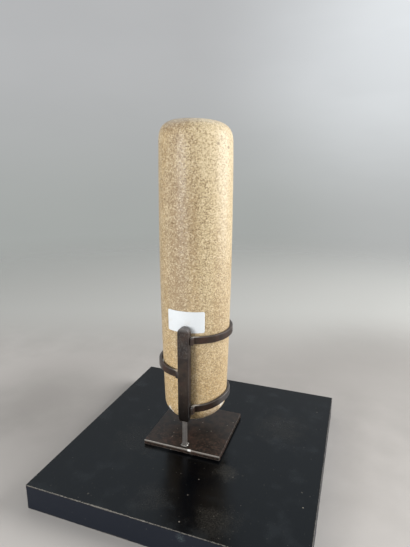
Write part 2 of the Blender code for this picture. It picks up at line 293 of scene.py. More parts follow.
# %% Floor finish
FLOOR_SOLID_TO = 0.45
FLOOR_GONE_AT = 1.70
FLOOR_CREASE = 0.045
FLOOR_FRONT = (0.570, 0.545, 0.520)
FLOOR_BACK = (0.425, 0.405, 0.384)
FLOOR_BACK_FROM = -0.16
FLOOR_BACK_FULL = 0.30
FLOOR_BACK_SLANT = 0.18
FLOOR_BACK_RAGGED = 0.30
FLOOR_FAR = (0.550, 0.550, 0.525)
FLOOR_FAR_FROM = 0.20
FLOOR_FAR_FULL = 0.50
FLOOR_DIM = (0.250, 0.235, 0.220)
# Each dim spot: its x and y, its reach, and how strong it is. The first is a painted shadow of the board and
# stone, left of the board.
FLOOR_DIM_SPOTS = ((-0.240, 0.035, 0.15, 0.62), (0.215, 0.360, 0.18, 0.22))
FLOOR_DIM_RAGGED = 0.10

floor_material, floor_shader, floor_place = new_material("pale grey paper")
floor_x, floor_y, _ = floor_place.split()
floor_reach = (floor_x * floor_x + floor_y * floor_y).math("SQRT")
floor_creases = floor_place.lumps(FLOOR_CREASE, 4.0) - 0.5
camera_ahead = (-math.sin(CAMERA_TURN), math.cos(CAMERA_TURN), 0.0)
floor_depth = floor_place.vector("DOT_PRODUCT", camera_ahead, "Value")
floor_back = floor_y + floor_x * FLOOR_BACK_SLANT + floor_creases * FLOOR_BACK_RAGGED
floor_back = floor_back.smooth(FLOOR_BACK_FROM, FLOOR_BACK_FULL)
floor_layers = [(floor_depth.smooth(FLOOR_FAR_FROM, FLOOR_FAR_FULL), FLOOR_FAR)]
# Painted shadow: the first dim spot darkens the floor where the board and stone cast their shadow.
for spot_x, spot_y, reach, share in FLOOR_DIM_SPOTS:
    from_spot = floor_place.distance((spot_x, spot_y, 0.0)) + floor_creases * FLOOR_DIM_RAGGED
    floor_layers.append((from_spot.smooth(reach, 0.0) * share, FLOOR_DIM))
floor_colour = lay_over(floor_back.blend(FLOOR_FRONT, FLOOR_BACK), floor_layers)
plug(floor_shader, {"Base Color": floor_colour, "Roughness": 0.9, "Specular IOR Level": 0.2})
fading = floor_place.node("ShaderNodeMixShader", None, {
    0: floor_reach.smooth(FLOOR_SOLID_TO, FLOOR_GONE_AT),
    1: Wire(floor_material.node_tree, floor_shader.outputs[0]),
    2: floor_place.node("ShaderNodeBsdfTransparent"),
})
plug(floor_material.node_tree.nodes["Material Output"], {"Surface": fading})
floor_mesh.materials.append(floor_material)
print("floor finish: solid to", FLOOR_SOLID_TO, "m and gone at", FLOOR_GONE_AT, "m")

# %% World
ROOM_LIGHT = (0.40, 0.40, 0.40)
BACK_LOW = (0.380, 0.398, 0.385)
BACK_LOW_RIGHT = (0.455, 0.467, 0.462)
BACK_HIGH_LEFT = (0.475, 0.482, 0.490)
BACK_HIGH_RIGHT = (0.79, 0.82, 0.845)
BACK_CREASE = (0.34, 0.35, 0.355)
CEILING = (1.90, 2.15, 2.35)
CREASE_SIZE = 0.30
CREASES_LEVEL = (1.0, 1.0, 2.5)
# Where each blend begins and ends, as the sine of the angle to the camera's right or upwards.
HIGH_RIGHTWARDS = (-0.05, 0.42)
LOW_RIGHTWARDS = (0.09, 0.42)
BACK_UPWARDS = (-0.16, 0.26)
CEILING_UPWARDS = (0.35, 0.75)

world = bpy.data.worlds.new("paper_background")
bpy.context.scene.world = world
world.use_nodes = True
world_start = Wire(world.node_tree)
looking = world_start.node("ShaderNodeTexCoord", output="Generated")
camera_right = (math.cos(CAMERA_TURN), math.sin(CAMERA_TURN), 0.0)
rightwards = looking.vector("DOT_PRODUCT", camera_right, "Value")
upwards = looking.split()[2]
high_colour = rightwards.smooth(*HIGH_RIGHTWARDS).blend(BACK_HIGH_LEFT, BACK_HIGH_RIGHT)
low_colour = rightwards.smooth(*LOW_RIGHTWARDS).blend(BACK_LOW, BACK_LOW_RIGHT)
creases = looking.vector("MULTIPLY", CREASES_LEVEL).lumps(CREASE_SIZE, 3.0)
back_colour = upwards.smooth(*BACK_UPWARDS).blend(low_colour, high_colour)
back_colour = (creases.smooth(0.35, 0.70) * 0.10).blend(back_colour, BACK_CREASE)
mirrored_colour = upwards.smooth(*CEILING_UPWARDS).blend(back_colour, CEILING)
camera_ray = world_start.node("ShaderNodeLightPath", output="Is Camera Ray")
world_colour = camera_ray.blend(ROOM_LIGHT, back_colour)
world_colour = camera_ray.out("Is Glossy Ray").blend(world_colour, mirrored_colour)
plug(world.node_tree.nodes["Background"], {"Color": world_colour, "Strength": 1.0})
print("world: room light", ROOM_LIGHT)

# %% Lamps
LAMP_AIM = Vector((0.0, 0.0, 0.15))


def add_lamp(name, turn, rise, distance, width, height, power):
    """A soft lamp aimed at the stone; turn is from the viewer's side, -Y, towards +X, in degrees."""
    turn = math.radians(turn)
    rise = math.radians(rise)
    away = Vector((math.sin(turn) * math.cos(rise), -math.cos(turn) * math.cos(rise), math.sin(rise)))
    data = bpy.data.lights.new(name, "AREA")
    data.shape = "RECTANGLE"
    data.size = width
    data.size_y = height
    data.energy = power
    lamp = new_piece(name, data)
    facing = away.to_track_quat("Z", "Y").to_matrix().to_4x4()
    lamp.matrix_world = Matrix.Translation(LAMP_AIM + away * distance) @ facing
    lamp.visible_camera = False
    print(f"lamp: {name}, {power} W")


add_lamp("window_right", turn=112, rise=16, distance=1.6, width=1.1, height=1.4, power=43.0)
add_lamp("room_front", turn=-23, rise=8, distance=1.65, width=0.55, height=0.7, power=22.5)

# %% [markdown]
# ## Turning results into plain pieces
#
# Trees and modifiers are recipes, and a finished piece is a plain mesh. These helpers give a Geometry Nodes
# tree its named inputs, run it once on an object, and keep what comes out.

# %% Helpers inside a tree
SOCKET_KINDS = {int: "NodeSocketInt", float: "NodeSocketFloat", bpy.types.Material: "NodeSocketMaterial"}


def new_tree(name, values):
    """A Geometry Nodes tree with a mesh input and one named input for each value."""
    tree = bpy.data.node_groups.new(name, "GeometryNodeTree")
    tree.interface.new_socket("Geometry", in_out="INPUT", socket_type="NodeSocketGeometry")
    for key, value in values.items():
        tree.interface.new_socket(key, in_out="INPUT", socket_type=SOCKET_KINDS[type(value)])
    tree.interface.new_socket("Geometry", in_out="OUTPUT", socket_type="NodeSocketGeometry")
    return tree, Wire(tree).node("NodeGroupInput")


def store_mask(geometry, name, mask):
    """Keep a mask on every point, for the finish to read."""
    settings = {"data_type": "FLOAT", "domain": "POINT"}
    inputs = {"Geometry": geometry, "Name": name, "Value": mask}
    return geometry.node("GeometryNodeStoreNamedAttribute", settings, inputs)


def push_out(geometry, amount):
    """Move every point along its own normal."""
    offset = geometry.node("GeometryNodeInputNormal").scaled(amount)
    return geometry.node("GeometryNodeSetPosition", None, {"Geometry": geometry, "Offset": offset})


def end_tree(tree, result, material):
    """Realize Instances, Set Material and the tree's output."""
    real = result.node("GeometryNodeRealizeInstances", None, {"Geometry": result})
    smooth = real.node("GeometryNodeSetShadeSmooth", None, {0: real})
    painted = smooth.node("GeometryNodeSetMaterial", None, {"Geometry": smooth, "Material": material})
    plug(tree.nodes.new("NodeGroupOutput"), {"Geometry": painted})
    print(f"tree: {tree.name}, {len(tree.nodes)} nodes")


print("helpers: new_tree, store_mask, push_out, end_tree")


# %% Helpers for finished pieces
def keep_result(piece):
    """Swap a piece's mesh for what its modifiers make of it, and take the modifiers off."""
    depsgraph = bpy.context.evaluated_depsgraph_get()
    mesh = bpy.data.meshes.new_from_object(piece.evaluated_get(depsgraph), depsgraph=depsgraph)
    mesh.name = piece.name
    piece.modifiers.clear()
    piece.data = mesh
    return piece


def run_tree(name, tree, values, mesh):
    """Run a tree on a mesh with these input values, and keep the result as a piece."""
    piece = new_piece(name, mesh)
    modifier = piece.modifiers.new("shape", "NODES")
    modifier.node_group = tree
    for item in tree.interface.items_tree:
        if item.in_out == "INPUT" and item.name in values:
            modifier[item.identifier] = values[item.name]
    return keep_result(piece)


def stand_for(piece, node, body):
    """The piece is shown in place of a frame's solid, and moves with its body."""
    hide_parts(node)
    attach(piece, body)
    print(f"{piece.name}: {len(piece.data.polygons)} faces, in place of {node}")


print("helpers: keep_result, run_tree, stand_for")

# %% [markdown]
# ## The stone's finish
#
# The stone is a warm tan, made of grains a millimetre or so across: most of them tan, some cream and some
# dark brown. Over that lie broad stains, browner on the left and orange towards the foot. Light and shade
# are painted over them too: a grey painted sheen and painted shade just left of the middle, painted light
# right of it and in cream on the right side and shoulder, and brown painted shade round the rim with cream
# painted light at its right. Where the right side is painted lighter, fewer dark grains show. Painting it on
# an image would fix its resolution, so it is a sum of noises, and the stains and the painted light and shade
# are soft ovals laid on the unrolled surface: so far round the stone, and so far up it.

# %% Stone sizes
STONE_X = -0.0124
STONE_Y = 0.0097
STONE_FOOT = 0.0430
STONE_LENGTH = 0.302
STONE_TOP_RADIUS = 0.0345
STONE_MIDDLE_RADIUS = 0.0355
STONE_FOOT_RADIUS = 0.0318
print(f"stone: foot at {STONE_FOOT * 1000:.1f} mm, {STONE_LENGTH * 1000:.0f} mm long")

# %% Stone colours
STONE_TAN = (0.475, 0.352, 0.192)
STONE_PALE = (0.570, 0.445, 0.262)
STONE_BROWN = (0.300, 0.205, 0.108)
STONE_GREY = (0.400, 0.345, 0.270)
STONE_ROSE = (0.455, 0.312, 0.185)
STONE_ORANGE = (0.610, 0.420, 0.195)
STONE_CREAM = (0.640, 0.530, 0.330)
STONE_RIM_SHADE = (0.430, 0.280, 0.115)
STONE_BLUSH = (0.680, 0.530, 0.390)
GRAIN_DARK = (0.190, 0.128, 0.066)
GRAIN_CREAM = (0.720, 0.610, 0.420)
BRUISE_WHITE = (0.780, 0.745, 0.670)

# Each entry is an oval, its strength and its colour; most are stains, and some, marked below, are painted
# light and painted shade. An oval is a turn in degrees from -Y towards +X, a height over the stone's foot in
# metres, and half its width and half its height in the same units.
# Painted light: the right side and the shoulder above it are painted cream where light from the right falls.
PAINTED_LIGHT_RIGHT = (76, 0.270, 44, 0.120)
PAINTED_LIGHT_SHOULDER = (56, 0.274, 42, 0.040)
SHAFT_STAINS_AND_LIGHT = (
    ((19, 0.225, 10, 0.070), 0.42, STONE_BROWN),
    # Painted sheen: a grey stripe left of the middle, where the front lamp's reflection falls.
    ((-10, 0.200, 26, 0.120), 0.45, STONE_GREY),
    ((-48, 0.175, 30, 0.100), 0.22, STONE_BROWN),
    # Painted shade just left of the middle and painted light right of it, over the whole shaft.
    ((-6, 0.205, 17, 0.130), 0.70, STONE_BROWN),
    ((38, 0.200, 18, 0.130), 0.75, STONE_CREAM),
    # Painted light on the right side and shoulder.
    (PAINTED_LIGHT_RIGHT, 0.70, STONE_CREAM),
    (PAINTED_LIGHT_SHOULDER, 0.45, GRAIN_CREAM),
    ((-4, 0.262, 15, 0.032), 0.45, STONE_BROWN),
    ((34, 0.270, 60, 0.040), 0.40, STONE_CREAM),
)
FOOT_STAINS = (
    ((-36, 0.050, 34, 0.060), 0.80, STONE_ORANGE),
    ((60, 0.017, 26, 0.011), 0.65, STONE_BLUSH),
)
# Painted light and shade at the rim: cream painted light on its right, brown painted shade on its left.
RIM_LIGHT_AND_SHADE = (
    ((48, 0.294, 44, 0.016), 0.60, STONE_CREAM),
    ((-34, 0.297, 44, 0.009), 0.60, STONE_BROWN),
    ((-14, 0.300, 38, 0.012), 0.80, STONE_BROWN),
)
DARK_PITS = (
    ((78.0, 0.2764, 3.0, 0.0016), 0.75, GRAIN_DARK),
    ((55.5, 0.2793, 3.0, 0.0016), 0.75, GRAIN_DARK),
)
print("stains:", len(SHAFT_STAINS_AND_LIGHT), "on the shaft,", len(FOOT_STAINS), "low,", len(RIM_LIGHT_AND_SHADE), "at the rim")

# %% Stains on the stone
OVAL_RAGGED = 0.008
STONE_CLOUD = 0.022
ROSE_CLOUD = 0.035
ORANGE_FROM = 0.120
ORANGE_FULL = 0.020
RIM_FROM = 0.286

stone_material, stone_shader, stone_place = new_material("speckled tan stone")
stone_x, stone_y, stone_z = stone_place.split()
round_stone = (stone_x - STONE_X).math("ARCTAN2", (stone_y - STONE_Y) * -1.0)
up_stone = stone_z - STONE_FOOT
oval_edge = stone_place.lumps(OVAL_RAGGED) - 0.5


def tint_oval(turn, height, half_turn, half_height):
    """A soft, ragged oval on the stone: 1 in its middle and 0 outside."""
    across = (round_stone - math.radians(turn)) / math.radians(half_turn)
    along = (up_stone - height) / half_height
    return (across * across + along * along + oval_edge).smooth(1.2, 0.0)


def lay_tint_ovals(colour, stains):
    """Lay a table of ovals over a colour, from the first to the last: stains, painted light and painted
    shade.
    """
    return lay_over(colour, [(tint_oval(*oval) * share, tint) for oval, share, tint in stains])


stone_colour = stone_place.lumps(STONE_CLOUD, 4.0).smooth(0.32, 0.68).blend(STONE_TAN, STONE_PALE)
rosy = stone_place.lumps(ROSE_CLOUD, 3.0).smooth(0.50, 0.72) * 0.35
stone_colour = lay_tint_ovals(rosy.blend(stone_colour, STONE_ROSE), SHAFT_STAINS_AND_LIGHT)
low_down = up_stone.smooth(ORANGE_FROM, ORANGE_FULL) * 0.60
stone_colour = lay_tint_ovals(low_down.blend(stone_colour, STONE_ORANGE), FOOT_STAINS)
# Painted shade: browner towards the top.
rim = up_stone.smooth(RIM_FROM, STONE_LENGTH) * 0.62
stone_colour = lay_tint_ovals(rim.blend(stone_colour, STONE_RIM_SHADE), RIM_LIGHT_AND_SHADE)
print("stained stone:", len(stone_material.node_tree.nodes), "nodes")

# %% Grains, pits and bruises
GRAIN = 0.0010
FINE_GRAIN = 0.0006
MOTTLE = 0.0016
PEPPER_FROM = 0.08
PEPPER_FULL = 0.24
GRAIN_BUMP = 0.0003

grain = stone_place.grains(GRAIN)
grain_chance = grain.chance()
fine_chance = stone_place.grains(FINE_GRAIN).chance()
mottle = stone_place.lumps(MOTTLE, 3.0)
# Fewer dark grains show where the right side and shoulder are painted lighter.
speckled = 1.0 - 0.60 * tint_oval(*PAINTED_LIGHT_RIGHT).most(tint_oval(*PAINTED_LIGHT_SHOULDER)).smooth(0.10, 0.65)
peppered = (0.28 + 0.45 * up_stone.smooth(PEPPER_FROM, PEPPER_FULL)) * speckled
stone_colour = lay_over(stone_colour, (
    (mottle.smooth(0.54, 0.34) * 0.50 * speckled, STONE_BROWN),
    (grain_chance.smooth(0.70, 0.0) * 0.56, STONE_BROWN),
    (grain_chance.smooth(0.55, 1.0) * 0.58, GRAIN_CREAM),
    (fine_chance.smooth(0.32, 0.05) * 0.60 * speckled, GRAIN_DARK),
    (grain_chance.smooth(0.24, 0.06) * peppered, GRAIN_DARK),
))
stone_colour = lay_tint_ovals(stone_colour, DARK_PITS)
bruise = stone_place.mask("bruise")
whitened = (bruise + (fine_chance - 0.5) * 0.4).smooth(0.25, 0.75) * 0.9
plug(stone_shader, {
    "Base Color": whitened.blend(stone_colour, BRUISE_WHITE),
    "Roughness": 0.30 + 0.26 * fine_chance + 0.25 * bruise,
    "Specular IOR Level": 0.35,
    "Normal": (grain * 0.5 + mottle).bump(0.30, GRAIN_BUMP),
})
print("stone finish:", len(stone_material.node_tree.nodes), "nodes")

# %% [markdown]
# ## The stone's shape
#
# The pestle swells gently from foot to middle and thins again to the top. Its top is a flattened dome that
# slopes to one side, and its foot is rounder, with pale bruises where it struck. It could be turned with a
# Screw modifier, but its lean and its slope break the turning. A rule suits it better: a flat grid gives
# each point its way round and its way along, and Set Position rolls it up by a formula. The two ends are
# quarter superellipses, where a greater power makes a squarer shoulder.

# %% Stone tree: radius and height
STONE_SIZES = {
    "Columns": 257,
    "Rows": 301,
    "Length": STONE_LENGTH,
    "Top radius": STONE_TOP_RADIUS,
    "Middle radius": STONE_MIDDLE_RADIUS,
    "Foot radius": STONE_FOOT_RADIUS,
    "Top cap": 0.0237,
    "Top power": 3.35,
    "Foot cap": 0.0214,
    "Foot power": 1.92,
    "Top slope": 0.033,
    "Top slope height": 0.060,
    "Foot slope": 0.073,
    "Foot slope height": 0.040,
    "Aside": math.radians(19.6),
    "Lean": 0.0006,
    "Lean from": 0.1273,
    "Pit size": 0.0045,
    "Pit depth": 0.00035,
    "Wave depth": 0.00025,
    "Bruise depth": 0.0006,
    "Material": stone_material,
}
CAP_SHARE = 0.14

stone_tree, size = new_tree("ground stone", STONE_SIZES)
grid = size.node("GeometryNodeMeshGrid", None, {
    "Size X": 1.0, "Size Y": 1.0, "Vertices X": size.out("Columns"), "Vertices Y": size.out("Rows"),
})
grid_x, grid_y, _ = size.node("GeometryNodeInputPosition").split()
turn = (grid_x + 0.5) * (2 * math.pi)
along = grid_y + 0.5
foot_turn = (1.0 - along / CAP_SHARE).most(0.0) * QUARTER
top_turn = ((along - 1.0) / CAP_SHARE + 1.0).most(0.0) * QUARTER
foot_power = 2.0 / size.out("Foot power")
top_power = 2.0 / size.out("Top power")
shaft_share = ((along - CAP_SHARE) / (1.0 - 2 * CAP_SHARE)).most(0.0).least(1.0)
shaft = size.out("Length") - size.out("Foot cap") - size.out("Top cap")
height = size.out("Foot cap") * (1.0 - foot_turn.math("SINE") ** foot_power) + shaft * shaft_share
height = height + size.out("Top cap") * top_turn.math("SINE") ** top_power
share = height / size.out("Length")
radius = size.out("Foot radius") * (1.0 - share) * (1.0 - 2.0 * share)
radius = radius + size.out("Middle radius") * (4.0 * share * (1.0 - share))
radius = radius + size.out("Top radius") * share * (2.0 * share - 1.0)
radius = radius * foot_turn.math("COSINE").most(0.0) ** foot_power
radius = radius * top_turn.math("COSINE").most(0.0) ** top_power
print("stone grid:", STONE_SIZES["Columns"], "by", STONE_SIZES["Rows"], "points")

# %% Stone tree: lean and slope
STONE_MERGE = 0.00001

aside_x = size.out("Aside").math("COSINE")
aside_y = size.out("Aside").math("SINE")
out_x = radius * turn.math("COSINE")
out_y = radius * turn.math("SINE")
dip = ((height - size.out("Length")) / size.out("Top slope height") + 1.0).most(0.0)
worn = (1.0 - height / size.out("Foot slope height")).most(0.0)
lean_length = size.out("Length") - size.out("Lean from")
lean = ((height - size.out("Lean from")) / lean_length).most(0.0) * size.out("Lean")
slant = size.out("Foot slope") * worn - size.out("Top slope") * dip
rolled_z = height + slant * (out_x * aside_x + out_y * aside_y) + STONE_FOOT
rolled = size.join(out_x + aside_x * lean + STONE_X, out_y + aside_y * lean + STONE_Y, rolled_z)
stone_mesh = size.node("GeometryNodeSetPosition", None, {"Geometry": grid, "Position": rolled})
stone_mesh = size.node("GeometryNodeMergeByDistance", None, {"Geometry": stone_mesh, "Distance": STONE_MERGE})
print("stone tree:", len(stone_tree.nodes), "nodes so far")

# %% Stone tree: the marks of use
# Each bruise: a point on the foot, and its reach.
BRUISES = (
    ((-0.0310, -0.0141, 0.0566), 0.0076),
    ((0.0170, 0.0035, 0.0640), 0.0062),
    ((0.0160, -0.0062, 0.0690), 0.0036),
    ((-0.0050, 0.0370, 0.0560), 0.0060),
    ((-0.0400, 0.0200, 0.0540), 0.0050),
)
BRUISE_RAGGED = 0.003
WAVE_SIZE = 0.030

position = size.node("GeometryNodeInputPosition")
bruise_edge = position.lumps(BRUISE_RAGGED) * 0.9
marks = [(bruise_edge + position.distance(at) / reach * 0.8).smooth(1.15, 0.75) for at, reach in BRUISES]
bruising = reduce(Wire.most, marks)
stone_mesh = store_mask(stone_mesh, "bruise", bruising)
pits = position.lumps(size.out("Pit size")).smooth(0.62, 0.74)
waves = position.lumps(WAVE_SIZE, 1.0)
sunk = size.out("Pit depth") * pits + size.out("Wave depth") * waves + size.out("Bruise depth") * bruising
end_tree(stone_tree, push_out(stone_mesh, sunk * -1.0), size.out("Material"))

stone = run_tree("ground_stone", stone_tree, STONE_SIZES, bpy.data.meshes.new("ground_stone"))
stand_for(stone, "stone_pestle", "pestle")

# %% [markdown]
# ## The paper sticker
#
# A blank white paper sticker wraps the stone behind the bar's top. A flat plane could be bent by a
# modifier, but paper on a round stone simply follows the stone's radius, so its points are laid out on the
# stone. Its corners are rounded, and one corner has begun to lift.

# %% Paper finish
PAPER_WHITE = (0.75, 0.78, 0.80)
PAPER_SHADED = (0.70, 0.735, 0.755)
PAPER_SOILED = (0.66, 0.64, 0.59)
PAPER_FIBRE = 0.0007
PAPER_SOIL = 0.009
PAPER_BUMP = 0.00008

paper_material, paper_shader, paper_place = new_material("white paper")
fibres = paper_place.lumps(PAPER_FIBRE, 3.0)
soil = paper_place.lumps(PAPER_SOIL, 3.0).smooth(0.52, 0.75)
white = (fibres.smooth(0.35, 0.70) * 0.5).blend(PAPER_SHADED, PAPER_WHITE)
plug(paper_shader, {
    "Base Color": (soil * 0.30).blend(white, PAPER_SOILED),
    "Roughness": 0.48 + 0.18 * fibres,
    "Specular IOR Level": 0.35,
    "Normal": fibres.bump(0.12, PAPER_BUMP),
})
print("paper finish:", len(paper_material.node_tree.nodes), "nodes")


# %% Points on the stone
def stone_radius(height):
    """The shaft's radius at a height over the foot, by the same rule as in the tree."""
    share = height / STONE_LENGTH
    foot = STONE_FOOT_RADIUS * (1.0 - share) * (1.0 - 2.0 * share)
    middle = STONE_MIDDLE_RADIUS * 4.0 * share * (1.0 - share)
    return foot + middle + STONE_TOP_RADIUS * share * (2.0 * share - 1.0)


def on_stone(turn, height, off):
    """A point off the shaft's surface; turn is from -Y towards +X, height is over the foot."""
    reach = stone_radius(height) + off
    return Vector((STONE_X + reach * math.sin(turn), STONE_Y - reach * math.cos(turn), STONE_FOOT + height))


print(f"shaft: {2000 * stone_radius(STONE_LENGTH / 2):.1f} mm thick in the middle")

# %% Sticker
STICKER_WIDTH = 0.0381
STICKER_CORNER = 0.0018
STICKER_THICKNESS = 0.00018
STICKER_OFF_STONE = 0.00012
STICKER_TURN = math.radians(3.8)
STICKER_COLUMNS = 48
STICKER_ROWS = 28
STICKER_LIFT = 0.00030
STICKER_LIFT_POWER = 6


def make_sticker():
    """Rows of points on the stone, shorter at the rounded corners, joined by faces and made thick."""
    low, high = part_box("paper_label")
    half_height = (high.z - low.z) / 2
    middle = (high.z + low.z) / 2 - STONE_FOOT
    bm = bmesh.new()
    rows = []
    for i in range(STICKER_ROWS + 1):
        up = half_height * math.sin(QUARTER * (2.0 * i / STICKER_ROWS - 1.0))
        into_corner = max(0.0, abs(up) - half_height + STICKER_CORNER)
        half_width = STICKER_WIDTH / 2 - STICKER_CORNER
        half_width += math.sqrt(STICKER_CORNER ** 2 - into_corner ** 2)
        row = []
        for j in range(STICKER_COLUMNS + 1):
            across = half_width * (2.0 * j / STICKER_COLUMNS - 1.0)
            corner = (across / STICKER_WIDTH + 0.5) * (0.5 + up / half_height / 2)
            off = STICKER_OFF_STONE + STICKER_LIFT * corner ** STICKER_LIFT_POWER
            turn = STICKER_TURN + across / stone_radius(middle)
            row.append(bm.verts.new(on_stone(turn, middle + up, off)))
        rows.append(row)
    for lower, upper in zip(rows, rows[1:]):
        for j in range(STICKER_COLUMNS):
            bm.faces.new((lower[j], lower[j + 1], upper[j + 1], upper[j]))
    mesh = finished_mesh("paper_sticker", bm)
    mesh.shade_smooth()
    mesh.materials.append(paper_material)
    piece = new_piece("paper_sticker", mesh)
    solidify = piece.modifiers.new("thickness", "SOLIDIFY")
    solidify.thickness = STICKER_THICKNESS
    solidify.offset = 1.0
    return keep_result(piece)


stand_for(make_sticker(), "paper_label", "pestle")

# %% [markdown]
# ## The patina
#
# Bar and strips are steel with a brown-black patina, waxed to a low sheen. It is mottled with red-brown and
# near-black, darker towards the bottom, and rubbed off along the edges, where grey metal shows. A finish
# for each piece would repeat the same sum, so one function makes it, and each piece hands it two masks: how
# near an edge each point is, and how bare the metal is there, which also carries painted sheen on the bar's
# arch, on the strips' upward faces and on the lowest strip's far end. The barest places are polished
# bright, as a painted highlight.

# %% Patina finish
PATINA_BROWN = (0.029, 0.021, 0.0150)
PATINA_BLACK = (0.012, 0.010, 0.009)
PATINA_RED = (0.052, 0.025, 0.017)
PATINA_LOW_DARK = (0.003, 0.0025, 0.002)
RUBBED_STEEL = (0.206, 0.197, 0.194)
POLISHED_STEEL_HIGHLIGHT = (0.640, 0.610, 0.560)
PATINA_MOTTLE = 0.006
PATINA_CLOUD = 0.010
PATINA_FINE = 0.0009
PATINA_STREAK = 0.0012
STREAKED_UPRIGHT = (1.0, 1.0, 0.25)
PATINA_BUMP = 0.0002
LOW_DARK_FROM = 0.098
LOW_DARK_FULL = 0.062


def patina_finish(name, edge_of, bare_and_sheen_of, red_share, low_dark_share):
    """Mottled patina. From the place wire, edge_of makes the mask of edges, and the other function the mask
    of bare metal with painted sheen.
    """
    material, shader, place = new_material(name)
    mottle = place.lumps(PATINA_MOTTLE, 4.0)
    fine = place.lumps(PATINA_FINE, 3.0)
    streaks = place.vector("MULTIPLY", STREAKED_UPRIGHT).lumps(PATINA_STREAK, 3.0)
    reddened = 0.3 + 0.7 * place.lumps(PATINA_CLOUD, 3.0).smooth(0.40, 0.70)
    # Darker towards the bottom.
    low_dark = place.split()[2].smooth(LOW_DARK_FROM, LOW_DARK_FULL)
    uneven = (fine - 0.5) * 0.9 + (mottle - 0.5) * 0.8
    bare = bare_and_sheen_of(place)
    rubbed_edge = (edge_of(place) + uneven).smooth(0.55, 1.05) * 0.16
    # Rubbed metal along the edges, and painted sheen where the bare mask carries it.
    rubbed_and_sheen = rubbed_edge.most((bare + uneven * 0.3).smooth(0.10, 1.00) * 0.60)
    colour = lay_over(mottle.smooth(0.36, 0.66).blend(PATINA_BLACK, PATINA_BROWN), (
        (reddened * red_share, PATINA_RED),
        (low_dark * low_dark_share, PATINA_LOW_DARK),
        ((streaks.smooth(0.66, 0.76) * 0.20).most(rubbed_and_sheen), RUBBED_STEEL),
        # Painted highlight: the barest places turn almost white.
        ((bare + uneven * 0.2).smooth(0.78, 0.98), POLISHED_STEEL_HIGHLIGHT),
    ))
    plug(shader, {
        "Base Color": colour,
        "Metallic": rubbed_and_sheen * 0.8,
        "Roughness": 0.36 + 0.20 * mottle - 0.10 * rubbed_and_sheen - 0.14 * low_dark,
        "Specular IOR Level": 0.24,
        "Normal": (fine + streaks * 0.5).bump(0.22, PATINA_BUMP),
    })
    print(f"finish: {name}, {len(material.node_tree.nodes)} nodes")
    return material


print(f"patina: soot from {LOW_DARK_FROM * 1000:.0f} mm down")

# %% [markdown]
# ## The spine bar
#
# The bar stands behind the stone. Its top is a half circle, its lower end is bevelled at the front and the
# sides, and a square blind hole in its underside takes the post. It could be a box joined to a half
# cylinder, but one outline holds the arch and the bevels at once. So the outline is worked out point by
# point, made thick, eased by a Bevel modifier and bored by a Boolean. Hands have rubbed the upper part
# grey, and the arch is greyest, with painted sheen.

# %% Spine sizes
spine_low, spine_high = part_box("spine_bar")
post_low, post_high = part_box("post")
SPINE_HALF = (spine_high.x - spine_low.x) / 2
SPINE_X = (spine_high.x + spine_low.x) / 2
SPINE_ARCH_Z = spine_high.z - SPINE_HALF
SPINE_ARCH_STEPS = 32
SPINE_BEVEL_HEIGHT = 0.0060
SPINE_FRONT_BEVEL = 0.0005
SPINE_SIDE_BEVEL = 0.0012
SPINE_EASED = 0.0007
SOCKET_DEPTH = 0.040
SOCKET_CLEARANCE = 0.0003
print(f"spine: {2000 * SPINE_HALF:.1f} mm wide, {1000 * (spine_high.z - spine_low.z):.1f} mm long")

# %% Where the bar is worn
SPINE_EDGE_REACH = 0.0016
SPINE_EDGE_FULL = 0.0002
SPINE_HANDLED_LENGTH = 0.030
SPINE_HANDLED_FADE = (-0.0015, 0.0015)
SPINE_SCUFF_FADE = (0.0012, 0.0002)
SPINE_ARCH_SHEEN_FADE = (-0.001, 0.005)
SPINE_SPECKLE = 0.0016


def spine_edges(place):
    """1 on the bar's long edges and round its arch, 0 away from them."""
    x, y, z = place.split()
    over_arch = (z - SPINE_ARCH_Z).most(0.0)
    from_middle = place.join(x - SPINE_X, over_arch, 0.0).distance((0.0, 0.0, 0.0))
    from_side = SPINE_HALF - from_middle
    from_face = (y - spine_low.y).least(spine_high.y - y)
    return from_side.most(from_face).smooth(SPINE_EDGE_REACH, SPINE_EDGE_FULL)


def spine_rubbed_and_sheen(place):
    """Most on the bar's round top, where it is a painted sheen, less for a way below it, with one scuff where
    that way ends.
    """
    z = place.split()[2]
    over_line = z - (spine_high.z - SPINE_HANDLED_LENGTH)
    speckled = place.lumps(SPINE_SPECKLE, 3.0).smooth(0.42, 0.62)
    handled = over_line.smooth(*SPINE_HANDLED_FADE) * (0.14 + 0.24 * speckled)
    scuff = abs(over_line).smooth(*SPINE_SCUFF_FADE) * 0.34
    return handled.most(scuff).most((z - SPINE_ARCH_Z).smooth(*SPINE_ARCH_SHEEN_FADE) * 0.76)


bar_patina = patina_finish("bar patina", spine_edges, spine_rubbed_and_sheen, red_share=0.40, low_dark_share=0.90)


